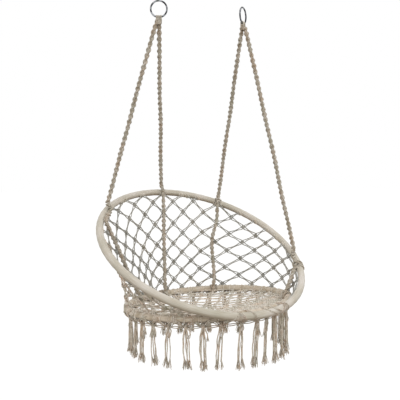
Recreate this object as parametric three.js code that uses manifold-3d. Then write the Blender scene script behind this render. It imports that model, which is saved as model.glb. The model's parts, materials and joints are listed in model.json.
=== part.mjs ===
// Hammock chair: two sleeved steel hoops, knotted cotton nets, four braided ropes on two steel rings
// and a tassel fringe. Millimetres and degrees, +Z up, -Y the front where the hoops meet.
// The origin is the hook seat in the left ring.

import * as THREE from 'three';
import { mergeVertices } from 'three/addons/utils/BufferGeometryUtils.js';
import Module from 'manifold-3d';

const wasm = await Module();
wasm.setup();

// Hoops
const backHoopOuter = 800;
const seatHoopOuter = 626;
const seatHoopShift = 11.5;
const backHoopTilt = 28;
const seatHoopTilt = -6;
const tubeOuter = 19;
const tubeWall = 1.5;
const sleeveOuter = 26;
const hoopFrontGap = 1;
const buttGap = 1.2;
const hoopSteps = 32;
const hoopSides = 8;

// Rings
const ringOuter = 64;
const ringWire = 6;
const ringSpacing = 318;
const ringHeight = 855.4;
const ringSetBack = 8.6;
const ringLineTurn = -21.4;
const leftRingTurn = -36.4;
const rightRingTurn = 26.6;
const ringSteps = 20;

// Ropes
const ropeDiameter = 17;
const headDiameter = 23;
const headAboveWire = 9;
const headBelowWire = 24;
const headChamfer = 4;
const crotchDrop = 12;
const legSpread = 5;
const legLength = 48;
const tieDiameter = 42;
const tieLength = 30;
const tieChamfer = 6;
const tieStub = 36;
const dropInset = 19;
const waveReach = 7;
const ropeSides = 8;
const ropePlaces = [
  { name: 'left_side', backAngle: 138.5, dropAngle: 148.5, seatAngle: 124, ring: 'left', wave: 0 },
  { name: 'left_rear', backAngle: 85.7, dropAngle: 85.7, seatAngle: 92.5, ring: 'left', wave: 0 },
  { name: 'right_rear', backAngle: 47, dropAngle: 47, seatAngle: 48.5, ring: 'right', wave: waveReach },
  { name: 'right_side', backAngle: 336, dropAngle: 334, seatAngle: 319, ring: 'right', wave: 0 },
];
const waveShares = [[0, 0], [0.05, 0], [0.28, 1], [0.52, -1], [0.78, 0.8], [0.95, 0], [1, 0]];
const waveSteps = 12;

// Nets. A station says at which angles a column of back net knots, counted from the right front,
// meets the back hoop's rim and the seat hoop
const netStations = [
  { column: 0, rim: -53, foot: -62 },
  { column: 3, rim: -17, foot: -28 },
  { column: 5, rim: -1, foot: -3 },
  { column: 7, rim: 17, foot: 17 },
  { column: 9, rim: 36, foot: 41.5 },
  { column: 11, rim: 56, foot: 61 },
  { column: 14, rim: 78, foot: 81 },
  { column: 17, rim: 101, foot: 98.5 },
  { column: 21, rim: 135, foot: 110 },
  { column: 26, rim: 173, foot: 145 },
  { column: 30, rim: 205, foot: 184 },
  { column: 34, rim: 237, foot: 230 },
];
const lastStation = netStations.length - 1;
const netColumns = netStations[lastStation].column + 1;
const netRows = 10;
const lowestRow = 18;
const rearRowPitch = 34.2;
const rearRowGrowth = 0.78;
const rightRowPitch = 38.3;
const rightRowGrowth = -0.73;
const rightColumn = 6;
const rearColumn = 12;
const rimKnotGap = 20;
const rimSpreadShare = 0.37;
const rimInset = 6;
const footOutset = 8;
const knotReach = 5;
const netCord = 6;
const netEndDepth = 5;
const seatPitch = 80;
const seatSag = 26;
const seatNetMargin = 26;

// Lashing
const lashingWraps = 7;
const lashingPitch = 26;
const lashingWidth = 12;
const lashingCord = 4.5;
const lashingLayer = 2.5;
const lashingLap = 1;
const lashingSides = 4;

// Fringe
const tasselAngles = [
  8, 26, 39, 52, 65.5, 79, 93, 104, 116, 128, 140, 152, 164, 173, 183,
  195, 207, 219, 230, 241, 254.5, 266, 275, 284, 294, 305, 317, 329, 340, 350,
];
const fringeInset = 6;
const tasselLength = 182;
const tasselVariation = 22;
const longestTassel = 350;
const tasselNeck = 4;
const tasselKnot = 8;
const tasselKnotTop = 14;
const tasselKnotBottom = 31;
const tasselBundle = 7;
const tasselFlare = 10.5;
const tasselFlareLength = 22;
const tasselSides = 5;
const swagCord = 5;
const swagDrop = 5;
const swagSteps = 3;
const swagSides = 4;

// Fits
const seatClearance = 0.3;
const frontAngle = 270;

const upward = new THREE.Vector3(0, 0, 1);
const rightward = new THREE.Vector3(1, 0, 0);
const radians = THREE.MathUtils.degToRad;
const tubeRadius = tubeOuter / 2;
const sleeveRadius = sleeveOuter / 2;
const ropeRadius = ropeDiameter / 2;
const backRadius = backHoopOuter / 2 - sleeveRadius;
const seatRadius = seatHoopOuter / 2 - sleeveRadius;
const ringRadius = ringOuter / 2 - ringWire / 2;

// Frame of the hoops, counted from the seat hoop's centre
function slope(tilt) {
  return new THREE.Vector3(0, Math.cos(radians(tilt)), Math.sin(radians(tilt)));
}

function makeHoop(centre, radius, tilt) {
  return { centre, radius, up: slope(tilt), butt: THREE.MathUtils.radToDeg(buttGap / 2 / radius) };
}

const seatHoop = makeHoop(new THREE.Vector3(), seatRadius, seatHoopTilt);
const seatFront = seatHoop.up.clone().multiplyScalar(-seatRadius);
const backFront = seatFront.clone().add(new THREE.Vector3(-seatHoopShift, -(sleeveOuter + hoopFrontGap), 0));
const backCentre = backFront.clone().addScaledVector(slope(backHoopTilt), backRadius);
const backHoop = makeHoop(backCentre, backRadius, backHoopTilt);

function outwardOf(hoop, degrees) {
  const angle = radians(degrees);
  return rightward.clone().multiplyScalar(Math.cos(angle)).addScaledVector(hoop.up, Math.sin(angle));
}

function circlePoint(hoop, degrees) {
  return hoop.centre.clone().addScaledVector(outwardOf(hoop, degrees), hoop.radius);
}

// A point on the chords that the swept hoop really follows
function hoopPoint(hoop, degrees) {
  const first = frontAngle + hoop.butt;
  const chord = (360 - 2 * hoop.butt) / hoopSteps;
  const turn = THREE.MathUtils.euclideanModulo(degrees - first, 360);
  const low = Math.min(Math.floor(turn / chord), hoopSteps - 1);
  const share = Math.min(turn / chord - low, 1);
  return circlePoint(hoop, first + low * chord).lerp(circlePoint(hoop, first + (low + 1) * chord), share);
}

class HoopCurve extends THREE.Curve {
  constructor(hoop) {
    super();
    this.hoop = hoop;
  }

  getPoint(share, target = new THREE.Vector3()) {
    const span = 360 - 2 * this.hoop.butt;
    return target.copy(circlePoint(this.hoop, frontAngle + this.hoop.butt + share * span));
  }
}

// Geometry helpers
function polygon(radius, sides) {
  return Array.from({ length: sides }, (_, k) => {
    const angle = 2 * Math.PI * (k + 1 / 2) / sides;
    return new THREE.Vector2(radius * Math.cos(angle), radius * Math.sin(angle));
  });
}

function sweep(curve, steps, outer, sides, bore = 0) {
  const section = new THREE.Shape(polygon(outer, sides));
  if (bore > 0) {
    section.holes.push(new THREE.Path(polygon(bore, sides)));
  }
  return new THREE.ExtrudeGeometry(section, { steps, bevelEnabled: false, extrudePath: curve });
}

function alongDirection(geometry, start, direction) {
  geometry.applyQuaternion(new THREE.Quaternion().setFromUnitVectors(upward, direction));
  return geometry.translate(start.x, start.y, start.z);
}

function lathe(profile, sides) {
  const points = profile.map(([radius, height]) => new THREE.Vector2(radius, height));
  return new THREE.LatheGeometry(points, sides).rotateX(Math.PI / 2);
}

function rod(start, end, startRadius, endRadius = startRadius, sides = ropeSides) {
  const path = end.clone().sub(start);
  const length = path.length();
  const geometry = new THREE.CylinderGeometry(endRadius, startRadius, length, sides).rotateX(Math.PI / 2);
  geometry.translate(0, 0, length / 2);
  return alongDirection(geometry, start, path.normalize());
}

function solid(geometry) {
  const bare = new THREE.BufferGeometry();
  bare.setAttribute('position', geometry.getAttribute('position'));
  bare.setIndex(geometry.index);
  const merged = mergeVertices(bare);
  const vertProperties = new Float32Array(merged.getAttribute('position').array);
  const triVerts = new Uint32Array(merged.index.array);
  return new wasm.Manifold(new wasm.Mesh({ numProp: 3, vertProperties, triVerts }));
}

function surface(manifold) {
  const mesh = manifold.getMesh();
  const geometry = new THREE.BufferGeometry();
  geometry.setAttribute('position', new THREE.BufferAttribute(new Float32Array(mesh.vertProperties), 3));
  geometry.setIndex(new THREE.BufferAttribute(new Uint32Array(mesh.triVerts), 1));
  geometry.computeVertexNormals();
  return geometry;
}

function joined(geometries) {
  return geometries.map(solid).reduce((whole, piece) => whole.add(piece));
}

// Hoop with its clearance, cut from whatever sits on it
function hoopCutter(hoop) {
  return solid(sweep(new HoopCurve(hoop), hoopSteps, sleeveRadius + seatClearance, hoopSides));
}

const backCutter = hoopCutter(backHoop);
const seatCutter = hoopCutter(seatHoop);

// Materials
const steel = { color: 0x8d8f92, roughness: 0.25, metalness: 1 };
const tubeSteel = { color: 0x9a9c9e, roughness: 0.45, metalness: 0.9 };
const cotton = { color: 0xc8c0ac, roughness: 0.95, metalness: 0 };
const sleeveCotton = { color: 0xd2cbba, roughness: 0.85, metalness: 0 };
const netCotton = { color: 0xb3ad9c, roughness: 0.95, metalness: 0 };

const chair = new THREE.Group();

function addPart(name, geometry, finish) {
  const mesh = new THREE.Mesh(geometry, new THREE.MeshStandardMaterial(finish));
  mesh.name = name;
  chair.add(mesh);
}

// Hanging rings: each stands upright, its lower wire held by a rope head
const ringLine = new THREE.Vector3(Math.cos(radians(ringLineTurn)), Math.sin(radians(ringLineTurn)), 0);
const rings = {
  left: { side: -1, turn: leftRingTurn },
  right: { side: 1, turn: rightRingTurn },
};

function ringSolid(ring, wireRadius) {
  const geometry = new THREE.TorusGeometry(ringRadius, wireRadius, hoopSides, ringSteps);
  geometry.rotateX(Math.PI / 2).rotateZ(radians(ring.turn));
  return geometry.translate(ring.centre.x, ring.centre.y, ring.centre.z);
}

for (const ring of Object.values(rings)) {
  ring.centre = backHoop.centre.clone().add(new THREE.Vector3(0, ringSetBack, ringHeight))
    .addScaledVector(ringLine, ring.side * ringSpacing / 2);
  ring.wire = ring.centre.clone().addScaledVector(upward, -ringRadius);
}

// Ropes: where each one starts, passes the back hoop and ends on the seat hoop
function directionTo(from, to) {
  return to.clone().sub(from).normalize();
}

function hoopTangent(hoop, degrees) {
  return directionTo(hoopPoint(hoop, degrees - 1), hoopPoint(hoop, degrees + 1));
}

for (const rope of ropePlaces) {
  const { wire } = rings[rope.ring];
  rope.backPlace = hoopPoint(backHoop, rope.backAngle);
  rope.dropPlace = hoopPoint(backHoop, rope.dropAngle);
  rope.seatPlace = hoopPoint(seatHoop, rope.seatAngle);
  rope.crotch = wire.clone().addScaledVector(upward, -crotchDrop)
    .addScaledVector(directionTo(wire, rope.backPlace).setZ(0).normalize(), legSpread);
  rope.rise = directionTo(rope.backPlace, rope.crotch);
  rope.fall = directionTo(rope.dropPlace, rope.seatPlace);
  rope.inward = hoopTangent(backHoop, rope.dropAngle).cross(rope.fall).normalize();
  rope.dropTop = rope.dropPlace.clone().addScaledVector(rope.inward, dropInset);
  rope.dropFoot = rope.seatPlace.clone().addScaledVector(rope.inward, dropInset);
  rope.backStubs = [
    { start: rope.backPlace, heading: rope.rise },
    { start: rope.dropTop, heading: rope.fall },
  ];
  rope.seatStubs = [{ start: rope.dropFoot, heading: rope.fall.clone().negate() }];
}

function ropeHead(ringName) {
  const ring = rings[ringName];
  const radius = headDiameter / 2;
  const wrap = lathe([
    [0, -headBelowWire], [radius - headChamfer, -headBelowWire], [radius, headChamfer - headBelowWire],
    [radius, headAboveWire - headChamfer], [radius - headChamfer, headAboveWire], [0, headAboveWire],
  ], ropeSides);
  wrap.translate(ring.wire.x, ring.wire.y, ring.wire.z);
  const legs = ropePlaces.filter((rope) => rope.ring === ringName).map((rope) => {
    const foot = rope.crotch.clone().addScaledVector(rope.rise, -legLength);
    return rod(rope.crotch, foot, ropeRadius);
  });
  return surface(joined([wrap, ...legs]).subtract(solid(ringSolid(ring, ringWire / 2 + seatClearance))));
}

function upperRope(rope) {
  const top = rope.crotch.clone().addScaledVector(rope.rise, -legLength - seatClearance);
  const foot = rope.backPlace.clone().addScaledVector(rope.rise, tieStub + seatClearance);
  return rod(top, foot, ropeRadius);
}

// A tie is a few turns of rope round a sleeved hoop, with a stub towards each rope that it holds
function tieSolid(hoop, firstAngle, lastAngle, stubs, growth = 0) {
  const degrees = (firstAngle + lastAngle) / 2;
  const radius = tieDiameter / 2 + growth;
  const span = hoopPoint(hoop, firstAngle).distanceTo(hoopPoint(hoop, lastAngle));
  const half = (tieLength + span) / 2 + growth;
  const turns = lathe([
    [0, -half], [radius - tieChamfer, -half], [radius, tieChamfer - half],
    [radius, half - tieChamfer], [radius - tieChamfer, half], [0, half],
  ], ropeSides);
  alongDirection(turns, hoopPoint(hoop, degrees), hoopTangent(hoop, degrees));
  const rods = stubs.map(({ start, heading }) => rod(
    start, start.clone().addScaledVector(heading, tieStub + growth), ropeRadius + growth));
  return joined([turns, ...rods]);
}

function dropRope(rope) {
  const top = rope.dropTop.clone().addScaledVector(rope.fall, tieStub + seatClearance);
  const foot = rope.dropFoot.clone().addScaledVector(rope.fall, -tieStub - seatClearance);
  if (rope.wave === 0) {
    return rod(top, foot, ropeRadius);
  }
  const aside = rope.inward.clone().cross(rope.fall);
  const points = waveShares.map(([share, reach]) => (
    top.clone().lerp(foot, share).addScaledVector(aside, reach * rope.wave)));
  return sweep(new THREE.CatmullRomCurve3(points), waveSteps, ropeRadius, ropeSides);
}

// Front lashing: a layer of cord round both hoops, with thicker wraps over it
function lashingBand(offset, width, thickness) {
  const middle = backHoop.centre.x + offset;
  const places = [backHoop, seatHoop].map((hoop) => {
    const turn = Math.asin((middle - hoop.centre.x) / hoop.radius);
    return hoopPoint(hoop, frontAngle + THREE.MathUtils.radToDeg(turn));
  });
  const centres = places.map((place) => new THREE.Vector2(place.y, place.z));
  const heading = centres[1].clone().sub(centres[0]).angle();
  const radius = sleeveRadius + thickness;
  const outline = centres.flatMap((centre, side) => Array.from({ length: lashingSides + 1 }, (_, step) => {
    const angle = heading + Math.PI * (side + 1 / 2 + step / lashingSides);
    return new THREE.Vector2(centre.x + radius * Math.cos(angle), centre.y + radius * Math.sin(angle));
  }));
  const band = new THREE.ExtrudeGeometry(new THREE.Shape(outline), { depth: width, bevelEnabled: false });
  band.applyMatrix4(new THREE.Matrix4().makeBasis(new THREE.Vector3(0, 1, 0), upward, rightward));
  return band.translate(middle - width / 2, 0, 0);
}

function lashingSolid(growth = 0) {
  const offsets = Array.from({ length: lashingWraps }, (_, k) => (k - (lashingWraps - 1) / 2) * lashingPitch);
  const lap = lashingLap + 2 * growth;
  const layer = offsets.map((offset) => lashingBand(offset, lashingPitch + lap, lashingLayer + growth));
  const wraps = offsets.map((offset) => lashingBand(offset, lashingWidth + 2 * growth, lashingCord + growth));
  return joined([...layer, ...wraps]);
}

const hoopTie = (rope, growth) => tieSolid(backHoop, rope.backAngle, rope.dropAngle, rope.backStubs, growth);
const seatTie = (rope, growth) => tieSolid(seatHoop, rope.seatAngle, rope.seatAngle, rope.seatStubs, growth);
const cutters = [
  backCutter, seatCutter, lashingSolid(seatClearance),
  ...ropePlaces.flatMap((rope) => [hoopTie(rope, seatClearance), seatTie(rope, seatClearance)]),
];

// Cuts a piece back from all that it is knotted to, and keeps the one body that is left
function seated(manifold) {
  const bodies = cutters.reduce((rest, cutter) => rest.subtract(cutter), manifold).decompose();
  return surface(bodies.reduce((largest, body) => (body.volume() > largest.volume() ? body : largest)));
}

// Knotted net: each knot is a square prism whose four sides carry the cords to the next knots
function netGeometry(knots, cordThickness) {
  const places = [];
  const triangles = [];
  const halfThick = cordThickness / 2;

  const addPlace = (point) => {
    places.push(point.x, point.y, point.z);
    return places.length / 3 - 1;
  };
  const addQuad = (a, b, c, d) => triangles.push(a, b, c, a, c, d);
  const ringOf = (knot, face) => {
    const next = (face + 1) % 4;
    return [knot.corners[face][0], knot.corners[next][0], knot.corners[next][1], knot.corners[face][1]];
  };
  const addTube = (from, to) => {
    from.forEach((corner, k) => {
      const next = (k + 1) % 4;
      addQuad(corner, from[next], to[next], to[k]);
    });
  };

  for (const knot of knots) {
    knot.normal = knot.across.clone().cross(knot.along).normalize();
    const reaches = [knot.across, knot.along, knot.across.clone().negate(), knot.along.clone().negate()];
    knot.corners = reaches.map((reach) => [-halfThick, halfThick].map((height) => addPlace(
      knot.place.clone().addScaledVector(reach, knotReach).addScaledVector(knot.normal, height))));
    knot.reaches = reaches;
    const [a, b, c, d] = knot.corners;
    addQuad(a[1], b[1], c[1], d[1]);
    addQuad(d[0], c[0], b[0], a[0]);
  }

  for (const knot of knots) {
    knot.links.forEach((link, face) => {
      const own = ringOf(knot, face);
      if (link && link.knot && face < 2) {
        const other = ringOf(link.knot, face + 2);
        addTube(own, [other[1], other[0], other[3], other[2]]);
      } else if (link && link.end) {
        const half = knot.reaches[(face + 1) % 4].clone().sub(knot.reaches[face])
          .multiplyScalar(knotReach / 2);
        const tip = [[-1, -1], [1, -1], [1, 1], [-1, 1]].map(([side, height]) => addPlace(
          link.end.clone().addScaledVector(half, side).addScaledVector(knot.normal, height * halfThick)));
        addTube(own, tip);
        addQuad(...tip);
      } else if (!link) {
        addQuad(...own);
      }
    });
  }

  const geometry = new THREE.BufferGeometry();
  geometry.setAttribute('position', new THREE.Float32BufferAttribute(places, 3));
  geometry.setIndex(triangles);
  return geometry;
}

// Back net: columns of knots up the wall between the hoops, cut off where the wall meets the back hoop.
function wallLine(column) {
  const reached = netStations.findIndex((station) => station.column >= column);
  const next = reached < 0 ? lastStation : Math.max(1, reached);
  const [before, after] = [netStations[next - 1], netStations[next]];
  const share = (column - before.column) / (after.column - before.column);
  const rimAngle = THREE.MathUtils.lerp(before.rim, after.rim, share);
  const footAngle = THREE.MathUtils.lerp(before.foot, after.foot, share);
  const rim = hoopPoint(backHoop, rimAngle);
  const foot = hoopPoint(seatHoop, footAngle);
  const top = rim.clone().addScaledVector(outwardOf(backHoop, rimAngle), -rimInset);
  const base = foot.clone().addScaledVector(outwardOf(seatHoop, footAngle), footOutset);
  return { rim, foot, base, up: directionTo(base, top), length: base.distanceTo(top) };
}

function wallPoint(column, height) {
  const line = wallLine(column);
  return line.base.addScaledVector(line.up, height);
}

function rowHeight(row, column) {
  const count = netRows - row;
  const rearShare = THREE.MathUtils.smoothstep(column, rightColumn, rearColumn);
  const pitch = THREE.MathUtils.lerp(rightRowPitch, rearRowPitch, rearShare);
  const growth = THREE.MathUtils.lerp(rightRowGrowth, rearRowGrowth, rearShare);
  return lowestRow + count * (pitch + count * growth);
}

function backNet() {
  const knots = new Map();
  for (let column = 0; column < netColumns; column += 1) {
    for (let row = netRows - 1 + column % 2; row > 0; row -= 2) {
      const line = wallLine(column);
      const height = rowHeight(row, column);
      if (height <= line.length - rimKnotGap) {
        const along = line.up.clone().negate();
        const across = directionTo(wallPoint(column - 1, height), wallPoint(column + 1, height));
        across.addScaledVector(along, -across.dot(along)).normalize();
        const place = wallPoint(column, height);
        knots.set(`${row}/${column}`, { row, column, height, place, across, along });
      }
    }
  }
  for (const knot of knots.values()) {
    const { row, column, height } = knot;
    const reach = Math.min(height / rearRowPitch, 1);
    const link = (side, step) => {
      const found = knots.get(`${row + step}/${column + side}`);
      if (found) {
        return { knot: found };
      }
      if (step > 0) {
        return { end: wallLine(column + side * reach).foot };
      }
      return { end: wallLine(column + side * rimSpreadShare).rim };
    };
    knot.links = [link(1, 1), link(-1, 1), link(-1, -1), link(1, -1)];
  }
  return seated(solid(netGeometry([...knots.values()], netCord)));
}

// Seat net: the same diamonds laid in the seat hoop, sagging to the middle
const seatNormal = rightward.clone().cross(seatHoop.up);

function seatPoint(x, y) {
  const share = (x * x + y * y) / (seatRadius * seatRadius);
  return seatHoop.centre.clone()
    .addScaledVector(rightward, x)
    .addScaledVector(seatHoop.up, y)
    .addScaledVector(seatNormal, -seatSag * (1 - share));
}

function seatRim(x, y, stepX, stepY) {
  const reach = seatRadius - netEndDepth;
  const inward = x * stepX + y * stepY;
  const squared = stepX * stepX + stepY * stepY;
  const run = (-inward + Math.sqrt(inward * inward + squared * (reach * reach - x * x - y * y))) / squared;
  return seatPoint(x + run * stepX, y + run * stepY);
}

function seatNet() {
  const half = seatPitch / 2;
  const count = Math.ceil(seatRadius / half);
  const inside = (x, y) => Math.hypot(x, y) <= seatRadius - seatNetMargin;
  const knots = new Map();
  for (let i = -count; i <= count; i += 1) {
    for (let j = -count; j <= count; j += 1) {
      if ((i + j) % 2 === 0 && inside(i * half, j * half)) {
        const place = seatPoint(i * half, j * half);
        knots.set(`${i}/${j}`, { i, j, place, across: rightward.clone(), along: seatHoop.up.clone() });
      }
    }
  }
  for (const knot of knots.values()) {
    knot.links = [[1, 1], [-1, 1], [-1, -1], [1, -1]].map(([stepX, stepY]) => {
      const found = knots.get(`${knot.i + stepX}/${knot.j + stepY}`);
      return found ? { knot: found } : { end: seatRim(knot.i * half, knot.j * half, stepX, stepY) };
    });
  }
  return seated(solid(netGeometry([...knots.values()], netCord)));
}

// Fringe: a band of knots under the seat hoop with a cord slung from knot to knot, and a tassel each
function fringePoint(degrees) {
  return hoopPoint(seatHoop, degrees).addScaledVector(outwardOf(seatHoop, degrees), -fringeInset);
}

function knotSolid(degrees) {
  const place = fringePoint(degrees);
  const half = (tasselKnotBottom - tasselKnotTop) / 2;
  const body = lathe([
    [0, -tasselKnotBottom], [tasselNeck, -tasselKnotBottom], [tasselKnot, half - tasselKnotBottom],
    [tasselNeck, -tasselKnotTop], [tasselNeck, -sleeveRadius / 2], [0, -sleeveRadius / 2],
  ], tasselSides);
  return body.translate(place.x, place.y, place.z);
}

function swag(fromDegrees, toDegrees) {
  const level = new THREE.Vector3(0, 0, -(tasselKnotTop + tasselKnotBottom) / 2);
  const start = fringePoint(fromDegrees).add(level);
  const end = fringePoint(toDegrees).add(level);
  const middle = start.clone().lerp(end, 1 / 2).addScaledVector(upward, -2 * swagDrop);
  return sweep(new THREE.QuadraticBezierCurve3(start, middle, end), swagSteps, swagCord / 2, swagSides);
}

function fringeBand() {
  const knots = tasselAngles.map(knotSolid);
  const swags = tasselAngles.map((degrees, k) => swag(degrees, tasselAngles[(k + 1) % tasselAngles.length]));
  return seated(joined([...knots, ...swags]));
}

function tassel(degrees) {
  const place = fringePoint(degrees);
  const reach = tasselLength + tasselVariation * Math.cos(radians(degrees - longestTassel));
  const top = tasselKnotBottom + seatClearance;
  const body = lathe([
    [0, -reach], [tasselFlare, -reach], [tasselBundle, tasselFlareLength - reach],
    [tasselBundle, -top - tasselBundle], [tasselNeck, -top], [0, -top],
  ], tasselSides);
  return body.translate(place.x, place.y, place.z);
}

// Assembly
addPart('left_hanging_ring', ringSolid(rings.left, ringWire / 2), steel);
addPart('right_hanging_ring', ringSolid(rings.right, ringWire / 2), steel);
addPart('left_rope_head', ropeHead('left'), cotton);
addPart('right_rope_head', ropeHead('right'), cotton);

for (const rope of ropePlaces) {
  const { name } = rope;
  addPart(`${name}_rope`, upperRope(rope), cotton);
  addPart(`${name}_hoop_tie`, surface(hoopTie(rope).subtract(backCutter)), cotton);
  addPart(`${name}_drop_rope`, dropRope(rope), cotton);
  addPart(`${name}_seat_tie`, surface(seatTie(rope).subtract(seatCutter)), cotton);
}

for (const [name, hoop] of [['back', backHoop], ['seat', seatHoop]]) {
  const path = new HoopCurve(hoop);
  const tube = sweep(path, hoopSteps, tubeRadius, hoopSides, tubeRadius - tubeWall);
  const sleeve = sweep(path, hoopSteps, sleeveRadius, hoopSides, tubeRadius + seatClearance);
  addPart(`${name}_hoop_tube`, tube, tubeSteel);
  addPart(`${name}_hoop_sleeve`, sleeve, sleeveCotton);
}

addPart('back_net', backNet(), netCotton);
addPart('seat_net', seatNet(), netCotton);
addPart('front_lashing', surface(lashingSolid().subtract(backCutter).subtract(seatCutter)), cotton);
addPart('fringe_band', fringeBand(), cotton);
tasselAngles.forEach((degrees, k) => {
  const number = String(k + 1).padStart(2, '0');
  addPart(`tassel_${number}`, tassel(degrees), cotton);
});

// The hook seat is the top of the left ring's eye
const hookSeat = rings.left.centre.clone().addScaledVector(upward, ringRadius - ringWire / 2);
chair.position.copy(hookSeat).negate();

export default chair;
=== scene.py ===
# Hammock chair: the finish of its cords, nets, sleeves, rings and fringe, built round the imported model.
# Metres, +Z up, -Y the front, the origin inside the top of the left ring.
import json
import math

import bmesh
import bpy
import numpy as np
from mathutils import Matrix, Vector

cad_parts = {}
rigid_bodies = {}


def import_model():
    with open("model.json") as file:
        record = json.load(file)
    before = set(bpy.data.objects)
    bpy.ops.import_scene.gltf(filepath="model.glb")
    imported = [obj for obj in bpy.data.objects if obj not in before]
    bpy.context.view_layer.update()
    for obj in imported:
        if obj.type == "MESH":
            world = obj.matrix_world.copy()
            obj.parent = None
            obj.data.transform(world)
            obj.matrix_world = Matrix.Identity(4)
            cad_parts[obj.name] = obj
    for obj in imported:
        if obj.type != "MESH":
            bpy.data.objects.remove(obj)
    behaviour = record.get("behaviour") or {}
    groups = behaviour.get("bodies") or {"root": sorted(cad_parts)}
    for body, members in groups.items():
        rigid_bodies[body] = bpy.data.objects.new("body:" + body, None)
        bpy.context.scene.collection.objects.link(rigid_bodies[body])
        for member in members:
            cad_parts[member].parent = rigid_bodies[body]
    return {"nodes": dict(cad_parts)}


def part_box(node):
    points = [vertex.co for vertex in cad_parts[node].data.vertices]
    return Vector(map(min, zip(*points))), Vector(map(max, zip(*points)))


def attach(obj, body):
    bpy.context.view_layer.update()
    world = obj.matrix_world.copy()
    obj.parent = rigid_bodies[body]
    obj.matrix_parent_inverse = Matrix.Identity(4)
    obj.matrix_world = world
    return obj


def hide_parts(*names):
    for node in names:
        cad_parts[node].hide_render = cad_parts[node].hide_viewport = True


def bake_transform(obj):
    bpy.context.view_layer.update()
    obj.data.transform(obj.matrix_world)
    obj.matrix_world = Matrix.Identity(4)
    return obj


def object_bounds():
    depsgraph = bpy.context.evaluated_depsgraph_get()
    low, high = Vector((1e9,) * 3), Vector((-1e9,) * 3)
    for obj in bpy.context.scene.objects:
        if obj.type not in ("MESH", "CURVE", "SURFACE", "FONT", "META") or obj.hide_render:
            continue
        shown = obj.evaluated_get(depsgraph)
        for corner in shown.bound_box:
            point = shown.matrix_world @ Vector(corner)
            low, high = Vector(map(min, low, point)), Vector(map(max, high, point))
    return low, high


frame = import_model()
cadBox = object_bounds()

camera = {
    "place": (-0.9829, -1.5897, -0.5830),
    "heading": (0.5898, 0.8046, -0.0681),
    "focalPixels": 509.6,
    "photoPixels": 400,
    "sensorWidth": 36.0,
}


def addObject(name, data):
    made = bpy.data.objects.new(name, data)
    bpy.context.scene.collection.objects.link(made)
    return made


def placeCamera():
    data = bpy.data.cameras.new("chair_camera")
    data.sensor_width = camera["sensorWidth"]
    data.lens = camera["focalPixels"] / camera["photoPixels"] * camera["sensorWidth"]
    holder = addObject("chair_camera", data)
    holder.location = camera["place"]
    holder.rotation_euler = Vector(camera["heading"]).to_track_quat("-Z", "Y").to_euler()
    bpy.context.scene.camera = holder


placeCamera()
bpy.context.scene.view_settings.view_transform = "Standard"
print("camera placed")


# Small helpers for colours, nodes and directions
def linear(code):
    parts = [int(code[k:k + 2], 16) / 255 for k in (1, 3, 5)]
    return tuple(c / 12.92 if c <= 0.04045 else ((c + 0.055) / 1.055) ** 2.4 for c in parts) + (1.0,)


def setStops(elements, stops):
    for element, (position, code) in zip(elements, (stops[0], stops[-1])):
        element.position, element.color = position, linear(code)
    for position, code in stops[1:-1]:
        elements.new(position).color = linear(code)


# A link's source is an output, or a node whose first output is meant
def addNode(tree, kind, settings=(), links=()):
    node = tree.nodes.new(kind)
    for key, value in dict(settings).items():
        if key == "stops":
            setStops(node.color_ramp.elements, value)
        elif isinstance(key, int) or key in node.inputs:
            node.inputs[key].default_value = value
        else:
            setattr(node, key, value)
    for key, source in dict(links).items():
        tree.links.new(getattr(source, "outputs", (source,))[0], node.inputs[key])
    return node


def unit(vector):
    vector = np.asarray(vector, float)
    return vector / np.linalg.norm(vector)


def clamp(value):
    return min(max(value, 0), 1)


def emptyMaterial(name):
    material = bpy.data.materials.new(name)
    material.use_nodes = True
    material.node_tree.nodes.clear()
    return material, material.node_tree


multiplied = {"data_type": "RGBA", "blend_type": "MULTIPLY", "Factor": 1.0}
colourA, colourB, colourMixed = 6, 7, 2  # a Mix node's sockets for colours


# Ramps laid over each other: each one after the first tints or darkens what is under it
def layeredColour(tree, layers):
    colour = None
    for factor, stops in layers:
        layer = addNode(tree, "ShaderNodeValToRGB", {"stops": stops}, {"Fac": factor})
        if colour:
            mix = addNode(tree, "ShaderNodeMix", multiplied, {colourA: colour, colourB: layer})
            layer = mix.outputs[colourMixed]
        colour = layer
    return colour


def closeMaterial(tree, surface, colour, relief, bump):
    normal = addNode(tree, "ShaderNodeBump", bump, {"Height": relief})
    shader = addNode(tree, "ShaderNodeBsdfPrincipled", surface, {"Base Color": colour, "Normal": normal})
    addNode(tree, "ShaderNodeOutputMaterial", links={"Surface": shader})


# Twisted cotton cord: matt, slightly fuzzy, its plies slanted with painted shade in their grooves and painted
# light on their crowns, and painted shade where cords lie close together
wavePeriod = math.tau / 10  # distance over which a diagonal band texture repeats
diagonalBands = {"wave_type": "BANDS", "bands_direction": "DIAGONAL", "wave_profile": "SIN", "Scale": 1.0,
                 "Detail": 1.0}
clear = "#ffffff"


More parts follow.
